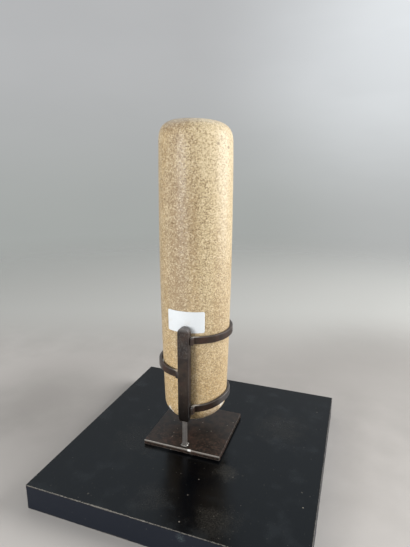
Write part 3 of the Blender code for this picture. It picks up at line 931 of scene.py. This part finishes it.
# %% Bar before it is bored
def make_spine():
    """The bar's outline, front and rear, with the lower end set back a little at the front."""
    foot_half = SPINE_HALF - SPINE_SIDE_BEVEL
    bevel_z = spine_low.z + SPINE_BEVEL_HEIGHT
    outline = [(-foot_half, spine_low.z), (foot_half, spine_low.z), (SPINE_HALF, bevel_z)]
    for i in range(SPINE_ARCH_STEPS + 1):
        turn = math.pi * i / SPINE_ARCH_STEPS
        outline.append((SPINE_HALF * math.cos(turn), SPINE_ARCH_Z + SPINE_HALF * math.sin(turn)))
    outline.append((-SPINE_HALF, bevel_z))
    bm = bmesh.new()
    front = []
    rear = []
    for x, z in outline:
        set_back = SPINE_FRONT_BEVEL * max(0.0, 1.0 - (z - spine_low.z) / SPINE_BEVEL_HEIGHT)
        front.append(bm.verts.new((SPINE_X + x, spine_low.y + set_back, z)))
        rear.append(bm.verts.new((SPINE_X + x, spine_high.y, z)))
    bm.faces.new((front[-1], front[0], front[1], front[2]))
    bm.faces.new(front[2:])
    bm.faces.new(rear)
    for j in range(len(outline)):
        k = (j + 1) % len(outline)
        bm.faces.new((front[j], front[k], rear[k], rear[j]))
    bmesh.ops.recalc_face_normals(bm, faces=bm.faces)
    mesh = finished_mesh("spine_with_socket", bm)
    mesh.shade_smooth()
    return new_piece("spine_with_socket", mesh)


spine = make_spine()
print("spine outline:", len(spine.data.vertices) // 2, "points on each side")

# %% Boxes and eased edges
EASED_ANGLE = math.radians(35)


def box_between(low, high):
    """A bmesh of a plain box between two corners."""
    bm = bmesh.new()
    bmesh.ops.create_cube(bm, size=1.0)
    bmesh.ops.scale(bm, vec=high - low, verts=bm.verts)
    bmesh.ops.translate(bm, vec=(low + high) / 2, verts=bm.verts)
    return bm


def ease_edges(piece, width, segments):
    """Round the sharp edges, and keep the flat faces flat in the light."""
    bevel = piece.modifiers.new("eased", "BEVEL")
    bevel.width = width
    bevel.segments = segments
    bevel.limit_method = "ANGLE"
    bevel.angle_limit = EASED_ANGLE
    bevel.harden_normals = True


print("helpers: box_between, ease_edges")

# %% Bar with its socket
ease_edges(spine, SPINE_EASED, segments=3)
clearance = Vector((SOCKET_CLEARANCE, SOCKET_CLEARANCE, 0.0))
socket_low = Vector((post_low.x, post_low.y, spine_low.z - SOCKET_DEPTH)) - clearance
socket_high = Vector((post_high.x, post_high.y, spine_low.z + SOCKET_DEPTH)) + clearance
drill = new_piece("socket_drill", finished_mesh("socket_drill", box_between(socket_low, socket_high)))
bore = spine.modifiers.new("socket", "BOOLEAN")
bore.object = drill
bore.solver = "EXACT"
keep_result(spine)
bpy.data.objects.remove(drill)
spine.data.materials.clear()
spine.data.materials.append(bar_patina)
stand_for(spine, "spine_bar", "cradle")

# %% [markdown]
# ## The bent strips
#
# Three flat strips are brazed by one end to the bar's sides, bend away from it and hug the stone; two go to
# the right and one to the left. Each follows a path, so one Geometry Nodes tree sweeps a rounded rectangle
# along whatever path it is given and roughens it a little, as a hand-bent strip is. The rectangle's corners
# carry a mask called edge, which the sweep spreads along the strip for the worn finish. A second mask, top,
# marks the upper faces, where the metal is partly bare and partly a painted highlight, and the lowest strip's
# far end, where it is a painted sheen.

# %% Strip profile
STRIP_SIZES = {
    "Thickness": 0.0030,
    "Height": 0.0070,
    "Corner": 0.0005,
    "Hammering": 0.00012,
    "Material": patina_finish(
        "strip patina", lambda place: place.mask("edge"), lambda place: place.mask("top"),
        red_share=0.80, low_dark_share=0.40,
    ),
}
CORNER_STEPS = 4
PROFILE_CUTS = 3
STRIP_EDGE_REACH = 0.0011
STRIP_EDGE_FULL = 0.0002

strip_tree, strip = new_tree("bent strip", STRIP_SIZES)
profile = strip.node("GeometryNodeCurvePrimitiveQuadrilateral", None, {
    "Width": strip.out("Thickness"), "Height": strip.out("Height"),
})
profile = strip.node("GeometryNodeFilletCurve", {"mode": "POLY"}, {
    "Curve": profile, "Count": CORNER_STEPS, "Radius": strip.out("Corner"),
})
profile = strip.node("GeometryNodeSubdivideCurve", None, {"Curve": profile, "Cuts": PROFILE_CUTS})
profile_x, profile_y, _ = strip.node("GeometryNodeInputPosition").split()
from_corner = (strip.out("Thickness") / 2 - abs(profile_x)).most(strip.out("Height") / 2 - abs(profile_y))
profile = store_mask(profile, "edge", from_corner.smooth(STRIP_EDGE_REACH, STRIP_EDGE_FULL))
print(f"strip: {1000 * STRIP_SIZES['Thickness']:.1f} by {1000 * STRIP_SIZES['Height']:.1f} mm")

# %% Strip sweep and bare places
DENT_SIZE = 0.004
BARE_NEAR_BAR = (0.024, 0.008)
SHEEN_FAR_END = (0.020, 0.036)
SHEEN_BELOW = (0.125, 0.100)

path = strip.node("GeometryNodeMeshToCurve", None, {"Mesh": strip.out("Geometry")})
path = strip.node("GeometryNodeSetCurveNormal", {"mode": "Z_UP"}, {"Curve": path})
swept = strip.node("GeometryNodeCurveToMesh", None, {
    "Curve": path, "Profile Curve": profile, "Fill Caps": True,
})
dents = strip.node("GeometryNodeInputPosition").lumps(DENT_SIZE) - 0.5
swept = push_out(swept, dents * strip.out("Hammering"))
facing_up = strip.node("GeometryNodeInputNormal").split()[2].smooth(0.45, 0.85)
strip_x, _, strip_z = strip.node("GeometryNodeInputPosition").split()
from_bar = abs(strip_x - SPINE_X)
# Painted highlight and wear on the upward faces, brightest near the bar; painted sheen on the lowest strip's
# far end.
bare_and_lit_top = facing_up * (0.40 + 0.55 * from_bar.smooth(*BARE_NEAR_BAR))
painted_sheen_end = from_bar.smooth(*SHEEN_FAR_END) * strip_z.smooth(*SHEEN_BELOW) * 0.72
swept = store_mask(swept, "top", bare_and_lit_top.most(painted_sheen_end))
end_tree(strip_tree, swept, strip.out("Material"))

# %% Strip paths
CONTACT_GAP = 0.0003
STRIP_BEND = 0.0022
STRIP_WRAP = math.radians(140)
STRIP_LEVEL_FROM = math.radians(80)
BEND_STEPS = 10
WRAP_STEPS = 64


def strip_path(node, side):
    """Points of a strip's middle line; side is 1 for a strip that goes to +X, and -1 for the other way."""
    low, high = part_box(node)
    ring = max(high.x - STONE_X, STONE_X - low.x) - STRIP_SIZES["Thickness"] / 2
    root_z = low.z + STRIP_SIZES["Height"] / 2
    rise = high.z - low.z - STRIP_SIZES["Height"]
    root = side * (SPINE_X - STONE_X) + SPINE_HALF + CONTACT_GAP + STRIP_SIZES["Thickness"] / 2
    bend_out = root + STRIP_BEND
    bend_y = -math.sqrt((ring + STRIP_BEND) ** 2 - bend_out ** 2)
    start = math.atan2(bend_out, -bend_y)
    points = [(root, low.y - STONE_Y, root_z)]
    for i in range(BEND_STEPS):
        turn = (QUARTER - start) * i / BEND_STEPS
        out = bend_out - STRIP_BEND * math.cos(turn)
        points.append((out, bend_y + STRIP_BEND * math.sin(turn), root_z))
    for i in range(WRAP_STEPS + 1):
        turn = start + (STRIP_WRAP - start) * i / WRAP_STEPS
        share = min(1.0, (turn - start) / (STRIP_LEVEL_FROM - start))
        z = root_z + rise * share * share * (3.0 - 2.0 * share)
        points.append((ring * math.sin(turn), -ring * math.cos(turn), z))
    return [Vector((STONE_X + side * out, STONE_Y + y, z)) for out, y, z in points]


def path_mesh(name, points, closed=False):
    """A mesh of edges only, for a tree to follow."""
    mesh = bpy.data.meshes.new(name)
    edges = [(i, i + 1) for i in range(len(points) - 1)]
    if closed:
        edges.append((len(points) - 1, 0))
    mesh.from_pydata(points, edges, [])
    return mesh


print(f"strip paths: {math.degrees(STRIP_WRAP):.0f} degrees round the stone")

# %% Bent strips
STRIPS = (("upper", 1), ("left", -1), ("lower", 1))
STRIP_EASED = 0.0004

for name, side in STRIPS:
    node = name + "_arm"
    line = path_mesh(name + "_strip", strip_path(node, side))
    bent = run_tree(name + "_strip", strip_tree, STRIP_SIZES, line)
    ease_edges(bent, STRIP_EASED, segments=2)
    keep_result(bent)
    stand_for(bent, node, "cradle")

# %% [markdown]
# ## The beads of braze and weld
#
# Where a strip meets the bar, and where the post meets the plate, melted metal has run into the corner and
# set in ripples. A bead follows a line, so a second tree sweeps a round along a path and lets noise swell
# and pinch it. The strips' beads are brown with patina and worn through in places, and the lowest is darkened
# low on the bar as painted shade; the post's bead was left bare.

# %% Bead finish
BRAZE_METAL = (0.32, 0.29, 0.25)
WELD_METAL = (0.25, 0.232, 0.210)
WELD_SCALE = (0.06, 0.05, 0.042)
SCALE_SIZE = 0.0016
BEAD_GRAIN = 0.0005
BEAD_BUMP = 0.0002


def bead_finish(name, metal, film, film_share, low_dark_share):
    """Rippled metal under a film of scale, with painted shade on beads low on the bar."""
    material, shader, place = new_material(name)
    scale = place.lumps(SCALE_SIZE, 3.0).smooth(0.35, 0.65) * film_share
    # Painted shade on beads low on the bar.
    low_dark = place.split()[2].smooth(LOW_DARK_FROM, LOW_DARK_FULL) * low_dark_share
    plug(shader, {
        "Base Color": low_dark.blend(scale.blend(metal, film), PATINA_LOW_DARK),
        "Metallic": (1.0 - 0.8 * scale) * (1.0 - low_dark),
        "Roughness": 0.34 + 0.25 * scale,
        "Normal": place.lumps(BEAD_GRAIN).bump(0.4, BEAD_BUMP),
    })
    print(f"finish: {name}, {len(material.node_tree.nodes)} nodes")
    return material


worn_braze = bead_finish("worn braze", BRAZE_METAL, PATINA_BROWN, film_share=0.75, low_dark_share=0.80)
bare_weld = bead_finish("bare weld", WELD_METAL, WELD_SCALE, film_share=0.85, low_dark_share=0.0)

# %% Bead tree
BRAZE_SIZES = {
    "Radius": 0.0008,
    "Spacing": 0.00015,
    "Ripple": 0.0008,
    "Ripple size": 0.0013,
    "Material": worn_braze,
}
BEAD_SIDES = 16
RIPPLE_MIDDLE = 0.62

bead_tree, bead = new_tree("fused bead", BRAZE_SIZES)
line = bead.node("GeometryNodeMeshToCurve", None, {"Mesh": bead.out("Geometry")})
line = bead.node("GeometryNodeResampleCurve", {"mode": "LENGTH"}, {
    "Curve": line, "Length": bead.out("Spacing"),
})
round_profile = bead.node("GeometryNodeCurvePrimitiveCircle", None, {
    "Resolution": BEAD_SIDES, "Radius": bead.out("Radius"),
})
bead_mesh = bead.node("GeometryNodeCurveToMesh", None, {
    "Curve": line, "Profile Curve": round_profile, "Fill Caps": True,
})
swell = bead.node("GeometryNodeInputPosition").lumps(bead.out("Ripple size"), 1.0)
bead_mesh = push_out(bead_mesh, (swell - RIPPLE_MIDDLE) * bead.out("Ripple"))
end_tree(bead_tree, bead_mesh, bead.out("Material"))

# %% Brazed beads
BEAD_SET_IN = 0.35

for name, side in STRIPS:
    low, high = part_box(name + "_arm_braze")
    inner_x = low.x if side > 0 else high.x
    bead_x = inner_x + side * BRAZE_SIZES["Radius"] * BEAD_SET_IN
    bead_z = low.z + BRAZE_SIZES["Radius"] * BEAD_SET_IN
    ends = (low.y + BRAZE_SIZES["Radius"], high.y - BRAZE_SIZES["Radius"])
    line = path_mesh(name + "_bead", [Vector((bead_x, y, bead_z)) for y in ends])
    brazed = run_tree(name + "_bead", bead_tree, BRAZE_SIZES, line)
    stand_for(brazed, name + "_arm_braze", "cradle")

# %% [markdown]
# ## The post, its weld and the plate
#
# A thin square post of bare steel carries the bar. Its foot is welded near the front edge of a small square
# plate with a mottled brown finish, rusty and pitted towards the front, whose edges are rubbed to a paler
# metal. The pale line along its front top edge is partly rubbed metal and partly a painted highlight, and one
# white spot on that edge is a painted glint. Both could be left as plain boxes. What makes them real is
# small:
# edges eased by a Bevel modifier, the plate's slightly wavy cut sides, and the finish.

# %% Bare steel post
POST_EASED = 0.00035
STEEL_BARE = (0.215, 0.200, 0.187)
STEEL_FILM = (0.134, 0.117, 0.100)
STEEL_DRAWN = 0.0004
DRAWN_UPRIGHT = (1.0, 1.0, 0.06)
STEEL_FILM_SIZE = 0.004
STEEL_BUMP = 0.0001

steel_material, steel_shader, steel_place = new_material("bare steel")
drawn = steel_place.vector("MULTIPLY", DRAWN_UPRIGHT).lumps(STEEL_DRAWN, 3.0)
film = steel_place.lumps(STEEL_FILM_SIZE, 3.0).smooth(0.40, 0.70)
plug(steel_shader, {
    "Base Color": (film * 0.55).blend(STEEL_BARE, STEEL_FILM),
    "Metallic": 0.9,
    "Roughness": 0.38 + 0.18 * drawn,
    "Normal": drawn.bump(0.15, STEEL_BUMP),
})
post = new_piece("square_post", finished_mesh("square_post", box_between(post_low, post_high)))
ease_edges(post, POST_EASED, segments=3)
keep_result(post)
post.data.materials.append(steel_material)
stand_for(post, "post", "stand")

# %% Bare weld at the post's foot
WELD_OUT = 0.0006
WELD_UP = 0.0004
WELD_CORNER_STEPS = 6
WELD_SIZES = {**BRAZE_SIZES, "Radius": 0.0010, "Ripple": 0.0014, "Material": bare_weld}


def weld_path():
    """A square with round corners, just outside the post's foot."""
    middle = (post_low + post_high) / 2
    half = (post_high.x - post_low.x) / 2
    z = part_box("post_weld")[0].z + WELD_UP
    points = []
    for quarter in range(4):
        corner_turn = QUARTER * quarter + QUARTER / 2
        corner_x = middle.x + math.copysign(half, math.cos(corner_turn))
        corner_y = middle.y + math.copysign(half, math.sin(corner_turn))
        for i in range(WELD_CORNER_STEPS + 1):
            turn = QUARTER * (quarter + i / WELD_CORNER_STEPS)
            x = corner_x + WELD_OUT * math.cos(turn)
            y = corner_y + WELD_OUT * math.sin(turn)
            points.append(Vector((x, y, z)))
    return points


weld = run_tree("foot_weld", bead_tree, WELD_SIZES, path_mesh("foot_weld", weld_path(), closed=True))
stand_for(weld, "post_weld", "stand")


# %% Edges and wavy sides of a slab
# Waves to a metre, and how far out a point is on a side, as a share of the slab's width.
SLAB_WAVES = 90.0
SLAB_SIDE = 0.4999


def box_edges(place, low, high):
    """Distance from each point of a box's surface to its nearest edge, in metres."""
    x, y, z = place.split()
    from_x = (x - low.x).least(high.x - x)
    from_y = (y - low.y).least(high.y - y)
    from_z = (z - low.z).least(high.z - z)
    flat_edge = from_x.least(from_y).most(from_z)
    return flat_edge.least(from_x.most(from_y))


def make_slab(name, low, high, cuts, wave, eased):
    """A box with slightly wavy sides, sunk inwards only, and eased edges."""
    bm = box_between(low, high)
    bmesh.ops.subdivide_edges(bm, edges=bm.edges, cuts=cuts, use_grid_fill=True)
    middle = (low + high) / 2
    for vert in bm.verts:
        for axis in (0, 1):
            if abs(vert.co[axis] - middle[axis]) > (high[axis] - low[axis]) * SLAB_SIDE:
                sunk = wave * (0.5 + 0.5 * noise.noise(vert.co * SLAB_WAVES))
                vert.co[axis] -= math.copysign(sunk, vert.co[axis] - middle[axis])
    mesh = finished_mesh(name, bm)
    mesh.shade_smooth()
    piece = new_piece(name, mesh)
    ease_edges(piece, eased, segments=3)
    return keep_result(piece)


print("helpers: box_edges, make_slab")

# %% Plate patina
PLATE_DARK = (0.010, 0.007, 0.005)
PLATE_BROWN = (0.028, 0.019, 0.014)
PLATE_RED = (0.036, 0.019, 0.014)
PLATE_RUST = (0.066, 0.036, 0.026)
PLATE_PIT = (0.004, 0.003, 0.002)
PLATE_SPECK = (0.30, 0.27, 0.23)
PLATE_CLOUD = 0.016
PLATE_RUST_SIZE = 0.0022
PLATE_PIT_SIZE = 0.0024
PLATE_SPECK_CELL = 0.0045
PLATE_FRONT_REACH = 0.050
PLATE_FRONT_FULL = 0.010
PLATE_GLINT_X = -0.0025
PLATE_RIGHT_FADE = (-0.004, 0.010)
plate_low, plate_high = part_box("base_plate")


def plate_colour(place, mottle):
    """Brown, redder in clouds, with rust at the front, pits at the front right, and pale specks."""
    x, y, _ = place.split()
    near_front = (y - plate_low.y).smooth(PLATE_FRONT_REACH, PLATE_FRONT_FULL)
    on_right = (x - PLATE_GLINT_X).smooth(*PLATE_RIGHT_FADE)
    rust = place.lumps(PLATE_RUST_SIZE, 3.0).smooth(0.50, 0.64) * near_front
    pitted = place.lumps(PLATE_PIT_SIZE, 4.0).smooth(0.48, 0.38) * near_front * on_right
    specks = place.grains(PLATE_SPECK_CELL)
    return lay_over(mottle.smooth(0.34, 0.68).blend(PLATE_DARK, PLATE_BROWN), (
        (place.lumps(PLATE_CLOUD, 3.0).smooth(0.50, 0.70) * 0.6, PLATE_RED),
        (rust * 0.60, PLATE_RUST),
        (pitted * 0.75, PLATE_PIT),
        (specks.smooth(0.15, 0.09) * specks.chance().smooth(0.70, 0.74) * 0.7, PLATE_SPECK),
    ))


print(f"plate: {1000 * (plate_high.x - plate_low.x):.1f} mm wide")

# %% Plate with rubbed edges
PLATE_STEEL = (0.420, 0.385, 0.345)
PLATE_GLINT = (0.80, 0.79, 0.76)
PLATE_MOTTLE = 0.007
PLATE_FINE = 0.0011
PLATE_GLINT_HALF = 0.0022
PLATE_BUMP = 0.0002
# How far each rubbed place and each painted highlight reaches back from the front face or down from the top,
# and where it is barest.
FRONT_LINE_BACK = (0.0009, 0.0004)
FRONT_LINE_DOWN = (0.0016, 0.0009)
GLINT_BACK = (0.0012, 0.0008)
GLINT_DOWN = (0.0020, 0.0012)
OTHER_EDGES = (0.0004, -0.0002)
RAGGED_FINE = 0.0010
RAGGED_WIDE = 0.0008

plate_material, plate_shader, plate_place = new_material("plate patina")
plate_mottle = plate_place.lumps(PLATE_MOTTLE, 4.0)
plate_fine = plate_place.lumps(PLATE_FINE, 3.0)
plate_x, plate_y, plate_z = plate_place.split()
from_front = plate_y - plate_low.y
from_top = plate_high.z - plate_z
uneven = (plate_fine - 0.5) * RAGGED_FINE + (plate_mottle - 0.5) * RAGGED_WIDE
# Painted highlight: the pale line along the front top edge is partly rubbed metal and partly painted
# highlight.
front_highlight_line = (from_front + uneven).smooth(*FRONT_LINE_BACK) * (from_top + uneven).smooth(*FRONT_LINE_DOWN)
other_edges = box_edges(plate_place, plate_low, plate_high) + uneven * 1.5
other_edges = other_edges.smooth(*OTHER_EDGES) * 0.35
# Painted glint: one almost white spot on the front top edge.
glint_x = (plate_x - PLATE_GLINT_X) / PLATE_GLINT_HALF
painted_glint = from_front.smooth(*GLINT_BACK) * from_top.smooth(*GLINT_DOWN)
painted_glint = painted_glint * (glint_x * glint_x).smooth(1.0, 0.2)
# Rubbed metal, with the painted highlight line and the painted glint.
bare = (front_highlight_line * (0.45 + 0.45 * plate_fine)).most(other_edges).most(painted_glint)
plug(plate_shader, {
    "Base Color": lay_over(
        plate_colour(plate_place, plate_mottle), ((bare, PLATE_STEEL), (painted_glint, PLATE_GLINT)),
    ),
    "Metallic": bare * 0.75 * (1.0 - painted_glint),
    "Roughness": 0.40 + 0.20 * plate_mottle - 0.05 * bare,
    "Specular IOR Level": 0.16,
    "Normal": (plate_fine + plate_mottle * 0.5).bump(0.20, PLATE_BUMP),
})
plate = make_slab("square_plate", plate_low, plate_high, cuts=24, wave=0.00010, eased=0.0005)
plate.data.materials.append(plate_material)
stand_for(plate, "base_plate", "stand")

# %% [markdown]
# ## The black board
#
# The board is painted black with a satin sheen. It has gathered patches of dust, faint smudges, specks and
# a few crumbs, and it has a scuff on its front face. A spot before the plate is left without smudges as
# painted shade, and the sides are painted lighter and bluer as painted sheen. Along its top edges the paint
# is rubbed to a thin pale line. A mirror-smooth black would look like glass, so the roughness wanders, and
# the smudges are a little paler and rougher than the rest of the paint.

# %% Dust on the board
BOARD_DUST = (0.060, 0.056, 0.048)
BOARD_CRUMB = (0.340, 0.310, 0.260)
# Each patch: its x and y, its reach, and how strong it is.
DUST_PATCHES = (
    (0.0410, -0.0490, 0.012, 1.7),
    (0.0480, -0.1060, 0.021, 1.0),
    (-0.0100, -0.1000, 0.020, 0.6),
    (-0.0600, -0.0300, 0.030, 0.7),
    (0.0750, 0.0400, 0.030, 0.7),
)
# Each kind of speck: its spacing, the share of cells that have one, and how strong it is.
DUST_SPECKS = ((0.0110, 0.08, 0.16), (0.0045, 0.22, 0.22), (0.0026, 0.25, 0.24))
# Each crumb: its x and y, and how strong it is.
CRUMBS = ((0.1131, -0.0669, 0.7), (0.0210, -0.1156, 0.6), (0.0191, -0.0653, 0.3), (0.0166, -0.0864, 0.3))
CRUMB_REACH = 0.0009
CRUMB_FULL = 0.0003
board_low, board_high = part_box("plinth")


def dust_patches(place, clouds):
    """How dusty each point of the board's top is: the strongest of the patches there."""
    patches = []
    for x, y, reach, share in DUST_PATCHES:
        near = place.distance((x, y, board_high.z)) / reach
        patches.append((near + (clouds - 0.5) * 1.8).smooth(1.2, 0.2) * share)
    return reduce(Wire.most, patches)


def specks_and_crumbs(place, dusty):
    """Layers of fine specks, more of them where it is dusty, and of single crumbs."""
    layers = []
    for cell, share, strength in DUST_SPECKS:
        dust = place.grains(cell)
        kept = (dust.chance() - dusty * 0.55).smooth(share, share - 0.06)
        layers.append((dust.smooth(0.11, 0.05) * kept * strength, BOARD_CRUMB))
    for x, y, strength in CRUMBS:
        from_crumb = place.distance((x, y, board_high.z))
        layers.append((from_crumb.smooth(CRUMB_REACH, CRUMB_FULL) * strength, BOARD_CRUMB))
    return layers


print("dust:", len(DUST_PATCHES), "patches and", len(CRUMBS), "crumbs")

# %% Board finish
BOARD_BLACK = (0.0008, 0.0011, 0.0017)
BOARD_SMUDGE = (0.0110, 0.0128, 0.0145)
BOARD_SIDE_SHEEN = (0.0125, 0.0150, 0.0215)
BOARD_SCUFF = (0.085, 0.105, 0.110)
BOARD_RUBBED = (0.26, 0.24, 0.21)
BOARD_WIDE = 0.060
BOARD_SMUDGE_SIZE = 0.022
BOARD_CLOUD = 0.012
BOARD_FINE = 0.0012
BOARD_BUMP = 0.0003
SIDE_FROM = -0.0004
SIDE_FULL = -0.0014
SHADE_SPOT = (0.0130, -0.0660)
SHADE_SPOT_REACH = 0.036
SHADE_SPOT_FULL = 0.015
SCUFF_AT = (0.0260, -0.1250, 0.0205)
SCUFF_REACH = 0.0050
RUBBED_REACH = 0.0009
RUBBED_FULL = 0.0001
RUBBED_FINE = 0.0020
RUBBED_WIDE = 0.0016

board_material, board_shader, board_place = new_material("satin black paint")
wide = board_place.lumps(BOARD_WIDE, 4.0)
fine = board_place.lumps(BOARD_FINE, 3.0)
clouds = board_place.lumps(BOARD_CLOUD, 4.0)
side_face = (board_place.split()[2] - board_high.z).smooth(SIDE_FROM, SIDE_FULL)
# Painted shade: a spot before the plate keeps no smudges, so it stays darkest.
shaded_spot = board_place.distance((*SHADE_SPOT, board_high.z)).smooth(SHADE_SPOT_REACH, SHADE_SPOT_FULL)
smudge = board_place.lumps(BOARD_SMUDGE_SIZE, 5.0).smooth(0.50, 0.74) * (1.0 - shaded_spot)
dusty = dust_patches(board_place, clouds) * (1.0 - side_face)
from_scuff = board_place.distance(SCUFF_AT) / SCUFF_REACH + (clouds - 0.5) * 2.0
from_edge = box_edges(board_place, board_low, board_high)
from_edge = from_edge + (fine - 0.5) * RUBBED_FINE + (wide - 0.5) * RUBBED_WIDE
board_colour = lay_over((smudge * 0.7).blend(BOARD_BLACK, BOARD_SMUDGE), (
    # Painted sheen: the board's sides are painted lighter and bluer than its top.
    (side_face, BOARD_SIDE_SHEEN),
    (dusty * (0.09 + 0.36 * fine.smooth(0.40, 0.75)), BOARD_DUST),
    *specks_and_crumbs(board_place, dusty),
    (from_scuff.smooth(1.0, 0.3) * fine.smooth(0.40, 0.60) * 0.45, BOARD_SCUFF),
    (from_edge.smooth(RUBBED_REACH, RUBBED_FULL) * 0.6, BOARD_RUBBED),
))
plug(board_shader, {
    "Base Color": board_colour,
    "Roughness": 0.18 + 0.08 * wide + 0.08 * smudge + 0.04 * dusty + 0.20 * side_face,
    "Specular IOR Level": 0.09,
    "Normal": (fine * 0.5 + wide).bump(0.10, BOARD_BUMP),
})
print("board finish:", len(board_material.node_tree.nodes), "nodes")

# %% Board
board = make_slab("black_board", board_low, board_high, cuts=40, wave=0.00020, eased=0.0009)
board.data.materials.append(board_material)
stand_for(board, "plinth", "plinth")
